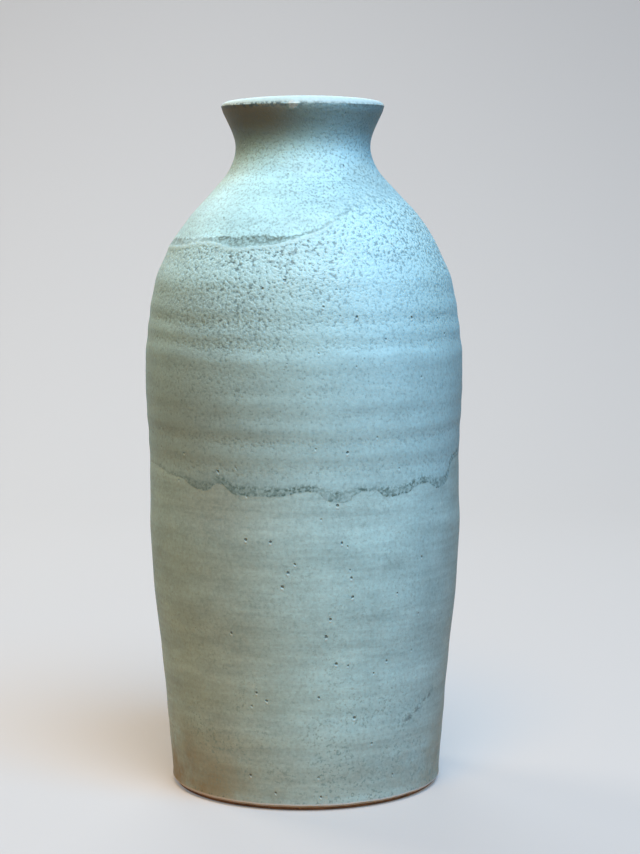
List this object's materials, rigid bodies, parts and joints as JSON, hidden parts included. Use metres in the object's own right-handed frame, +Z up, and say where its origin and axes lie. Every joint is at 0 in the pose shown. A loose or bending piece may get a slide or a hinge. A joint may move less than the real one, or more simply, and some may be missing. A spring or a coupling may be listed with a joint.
{
  "type": "pottery vase",
  "caption": "Wheel-thrown stoneware vase with a rounded shoulder, a short narrow neck and a flared lip, dipped in pale blue-green matte glaze; it holds water and cut stems.",
  "frame": {"origin": "on the table, under the middle of the foot", "axes": "+Z up along the throwing axis; -Y faces the viewer of the picture, +X to the viewer's right"},
  "size_m": [0.1296, 0.1296, 0.28],
  "materials": {
    "bare_stoneware": "unglazed buff-brown fired clay, dry and slightly gritty",
    "lower_glaze": "smooth matte blue-green glaze with throwing rings and pinholes",
    "upper_glaze": "pale matte blue-green glaze, crawled into small beads below the shoulder and speckled above it",
    "liner_glaze": "satin grey-green glaze poured inside"
  },
  "bodies": {
    "root": {"stoneware_body": "bare_stoneware", "lower_glaze_coat": "lower_glaze", "upper_glaze_coat": "upper_glaze", "liner_glaze_coat": "liner_glaze"}
  },
  "joints": []
}
